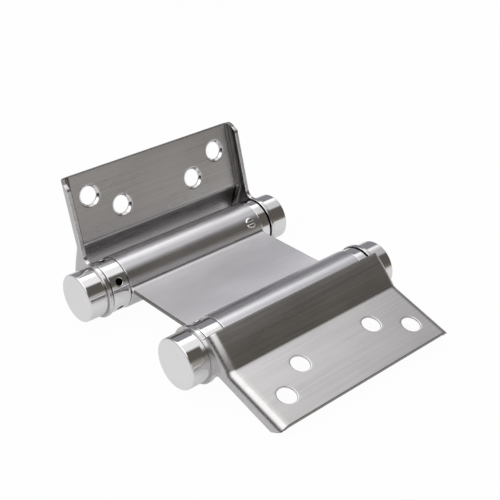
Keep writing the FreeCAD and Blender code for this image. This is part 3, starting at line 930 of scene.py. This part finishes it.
def cap_steel(finishes):
    """Bright sides and a satin end face, told apart by the place along the pin."""
    f = Finish("cap_steel")
    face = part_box("back_cap_a")[1].y
    on_face = abs(f.axes()[1]).step(face - 2 * FACE_DEPTH, face - FACE_DEPTH)
    smudge, fine = f.noise(CAP_SMUDGES, 3.0), f.noise(CAP_GRAIN)
    base = f.shade(on_face * 0.6 + smudge * 0.3, finishes.bright_colour, 0.95, 1.12)
    side = finishes.bright_roughness + smudge.step(*SMUDGE_EDGE) * 0.04
    rough = side + on_face * (finishes.face_roughness - finishes.bright_roughness + fine * 0.08)
    f.metal(base, rough, f.bump(0.08, 0.00001, fine))


def plain_steel(name, tint, roughness):
    """Ground or drawn steel with fine marks along the pin."""
    f = Finish(name)
    marks = f.noise(DRAWING_MARKS, 3.0)
    f.metal(f.shade(marks, tint, 0.8, 1.15), roughness + marks * 0.12, f.bump(0.1, 0.00002, marks))


def finish_of(name):
    """A finish made earlier, or a plain error."""
    material = bpy.data.materials.get(name)
    if material is None:
        raise RuntimeError("the finish %s has to be made first" % name)
    return material


# Operators

class HINGE_OT_finishes(bpy.types.Operator):
    """Make the finishes of the metal"""
    bl_idname = "hinge.finishes"
    bl_label = "Make Finishes"

    def execute(self, context):
        finishes = context.scene.hinge_finishes
        brushed_sheet(finishes)
        rolled_sheet(finishes)
        # Cut edges: rough sheared steel whose dark colour is partly painted shade
        marked_steel("sheared_edge", CUTTING_MARKS, finishes.sheared_and_shaded_colour, 0.93, 1.07, 0.22, 0.06)
        marked_steel("bright_edge", CUTTING_MARKS, finishes.bright_colour, 0.78, 1.0,
                     finishes.bright_roughness + 0.06, 0.12)
        # Ears' insides: smooth unbrushed sheet whose near-black colour is painted shade
        marked_steel("mill_sheet", ROLLING_MARKS, finishes.shaded_mill_colour, 0.8, 1.2, 0.18, 0.1)
        bright_steel(finishes)
        cap_steel(finishes)
        plain_steel("ground_bar", finishes.ground_colour, 0.25)
        plain_steel("drawn_wire", finishes.spring_colour, 0.4)
        return {"FINISHED"}


class HINGE_OT_leaves(bpy.types.Operator):
    """Build both pressed leaves"""
    bl_idname = "hinge.leaves"
    bl_label = "Build Leaves"

    def execute(self, context):
        leaf = Leaf(context.scene.hinge_sizes)
        for side in SIDES:
            seat(*leaf.build(side), "satin_sheet", "brushed_sheet", "sheared_edge", "bright_edge", "mill_sheet")
        return {"FINISHED"}


class HINGE_OT_plate(bpy.types.Operator):
    """Build the centre plate with its two rolled barrels"""
    bl_idname = "hinge.plate"
    bl_label = "Build Centre Plate"

    def execute(self, context):
        made = build_plate(context.scene.hinge_sizes)
        seat(*made, "satin_sheet", "rolled_sheet", "sheared_edge", "bright_edge")
        return {"FINISHED"}


class HINGE_OT_caps(bpy.types.Operator):
    """Build the four polished caps"""
    bl_idname = "hinge.caps"
    bl_label = "Build Caps"

    def execute(self, context):
        for side in SIDES:
            for end in ENDS:
                seat(*build_cap(context.scene.hinge_sizes, side, end), "polished_steel", "cap_steel")
        return {"FINISHED"}


class HINGE_OT_collars(bpy.types.Operator):
    """Build the adjusting and fixed collars"""
    bl_idname = "hinge.collars"
    bl_label = "Build Collars"

    def execute(self, context):
        for side in SIDES:
            for make in (build_adjusting_collar, build_fixed_collar):
                seat(*make(context.scene.hinge_sizes, side), "polished_steel", "bright_steel")
        return {"FINISHED"}


class HINGE_OT_small_pieces(bpy.types.Operator):
    """Build the washers and collar screws, and finish the pintles and springs"""
    bl_idname = "hinge.small_pieces"
    bl_label = "Build Washers and Screws"

    def execute(self, context):
        sizes = context.scene.hinge_sizes
        for side in SIDES:
            for end in ENDS:
                seat(*build_washer(sizes, side, end), "ground_steel", "ground_bar")
            seat(*build_screw(sizes, side), "ground_steel", "bright_edge")
            for node, finish in (("pintle_" + side, "ground_bar"), ("spring_" + side, "drawn_wire")):
                mesh = frame["nodes"][node].data
                mesh.materials.clear()
                mesh.materials.append(finish_of(finish))
        return {"FINISHED"}


class HINGE_OT_stage(bpy.types.Operator):
    """Set the floor, light, surroundings and camera"""
    bl_idname = "hinge.stage"
    bl_label = "Set Stage"

    def execute(self, context):
        stage = context.scene.hinge_stage
        make_floor(stage)
        make_room(context.scene, stage)
        make_camera(context.scene, stage)
        context.scene.view_settings.view_transform = "Standard"
        return {"FINISHED"}


# Stage

PAPER = (0.76, 0.76, 0.77, 1.0)  # floor under the shadow
FLOOR_GREY = (0.88, 0.88, 0.88, 1.0)  # floor as the metal sees it, near the hinge
CAMERA_GLOW, METAL_GLOW = 0.97, 0.55  # shares of plain glow in the floor for the camera and for the metal
DIM_FLOOR = (0.04, 0.22)  # metres to the right where the floor begins to dim and is dim

# Soft edges in the room, each from where it begins to where it ends. Across is the cosine from X in the plane
# across the pins, along is Y of the direction and up is its Z.
OVERHEAD = {"across": ((-0.60, -0.42), (0.34, 0.52)), "along": ((-0.2, 0.1), (0.45, 0.85)), "up": (0.05, 0.2)}
FRONT = {"across": ((-0.75, -0.55), (0.55, 0.8)), "along": ((-0.9, -0.75), (-0.12, 0.1)), "up": (0.3, 0.42)}
HOT_SIDE = (-0.48, -0.04)
LEFT_TO_RIGHT = (-0.5, 0.55)
WALL_FOOT = (0.02, 0.22)
PALE_WALL = ((0.4, 0.56), (0.12, 0.38))
DARK_ROOM = ((-0.7, -0.4), (0.24, 0.4))


def make_floor(stage):
    """Table top that the camera sees as white, with a faint shadow. In the metal it grows dim to the right."""
    half = stage.floor_size / 2
    mesh = bpy.data.meshes.new("table_top")
    mesh.from_pydata([(-half, -half, 0), (half, -half, 0), (half, half, 0), (-half, half, 0)], [], [(0, 1, 2, 3)])
    floor = bpy.data.objects.new("table_top", mesh)
    bpy.context.scene.collection.objects.link(floor)
    f = Finish("white_table")
    camera = f.node("ShaderNodeLightPath", output="Is Camera Ray")
    glossy = f.node("ShaderNodeLightPath", output="Is Glossy Ray")
    far = f.blend(f.axes()[0].step(*DIM_FLOOR), FLOOR_GREY, rgba(stage.far_floor))
    paper = f.node("ShaderNodeBsdfDiffuse", inputs={"Color": PAPER})
    glow = f.node("ShaderNodeEmission", inputs={"Color": f.blend(camera, far, WHITE), "Strength": 1.0})
    f.surface(f.mix(camera * CAMERA_GLOW + glossy * METAL_GLOW, paper, glow))
    mesh.materials.append(f.material)


def make_room(scene, stage):
    """Room that the metal shows, told by direction. The camera sees plain white.

    A long softbox lies overhead along the pins, hotter on its left, and another hangs over the camera. The room
    is cool on the left and dim and warm on the right, where the wall's foot is pale towards the front. Low down
    behind the camera it is dark.
    """
    world = bpy.data.worlds.new("room")
    world.use_nodes = True
    scene.world = world
    f = Finish("room", world.node_tree)
    x, y, z = f.axes("Generated")
    across = x / (x * x + z * z).root()

    def softbox(edges):
        """1 inside a softbox's edges."""
        return across.between(*edges["across"]) * y.between(*edges["along"]) * z.step(*edges["up"])

    def low_in_front(along, up):
        """1 on the near side of an edge along Y and below an edge up Z."""
        return (1.0 - y.step(*along)) * (1.0 - z.step(*up))

    def glow(tint, strength):
        """Even light from far away."""
        return f.node("ShaderNodeBackground", inputs={"Color": tint, "Strength": strength})

    warm = f.blend(z.step(*WALL_FOOT), rgba(stage.far_floor), rgba(stage.right_room))
    warm = f.blend(low_in_front(*PALE_WALL), warm, rgba(stage.pale_wall))
    room = f.blend(x.step(*LEFT_TO_RIGHT), rgba(stage.left_room), warm)
    room = f.blend(low_in_front(*DARK_ROOM), room, rgba(stage.dark_room))
    overhead = f.mix(1.0 - across.step(*HOT_SIDE), glow(WHITE, stage.softbox_glow), glow(WHITE, stage.hot_glow))
    lit = f.mix(softbox(OVERHEAD), glow(room, 1.0), overhead)
    lit = f.mix(softbox(FRONT), lit, glow(WHITE, stage.front_glow))
    camera = f.node("ShaderNodeLightPath", output="Is Camera Ray")
    f.node("ShaderNodeOutputWorld", inputs={"Surface": f.mix(camera, lit, glow(WHITE, 1.0))})


def make_camera(scene, stage):
    """Camera at its place: turned by its azimuth about Z, raised by its elevation, then rolled about its view."""
    lens = bpy.data.cameras.new("photo_camera")
    lens.lens = stage.lens
    lens.sensor_width = 36.0
    lens.clip_start = 0.01
    camera = bpy.data.objects.new("photo_camera", lens)
    azimuth, elevation, roll = stage.camera_turn
    turn = (Matrix.Rotation(azimuth, 4, "Z") @ Matrix.Rotation(math.pi / 2 - elevation, 4, "X")
            @ Matrix.Rotation(-roll, 4, "Z"))
    camera.matrix_world = Matrix.Translation(stage.camera_place) @ turn
    scene.collection.objects.link(camera)
    scene.camera = camera


# Panel and registration

STEPS = (HINGE_OT_finishes, HINGE_OT_leaves, HINGE_OT_plate, HINGE_OT_caps, HINGE_OT_collars,
         HINGE_OT_small_pieces, HINGE_OT_stage)


class HINGE_PT_sidebar(bpy.types.Panel):
    """Steps that build the hinge, in order"""
    bl_idname = "HINGE_PT_sidebar"
    bl_label = "Spring Hinge"
    bl_space_type = "VIEW_3D"
    bl_region_type = "UI"
    bl_category = "Hinge"

    def draw(self, context):
        for step in STEPS:
            self.layout.operator(step.bl_idname)


GROUPS = {"hinge_sizes": HingeSizes, "hinge_finishes": HingeFinishes, "hinge_stage": HingeStage}
CLASSES = (*GROUPS.values(), *STEPS, HINGE_PT_sidebar)


def register():
    for kind in CLASSES:
        bpy.utils.register_class(kind)
    for name, group in GROUPS.items():
        setattr(bpy.types.Scene, name, PointerProperty(type=group))


def unregister():
    for name in GROUPS:
        delattr(bpy.types.Scene, name)
    for kind in reversed(CLASSES):
        bpy.utils.unregister_class(kind)


def main():
    """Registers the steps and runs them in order."""
    register()
    for step in STEPS:
        group, name = step.bl_idname.split(".")
        getattr(getattr(bpy.ops, group), name)()


if __name__ == "__main__":
    main()
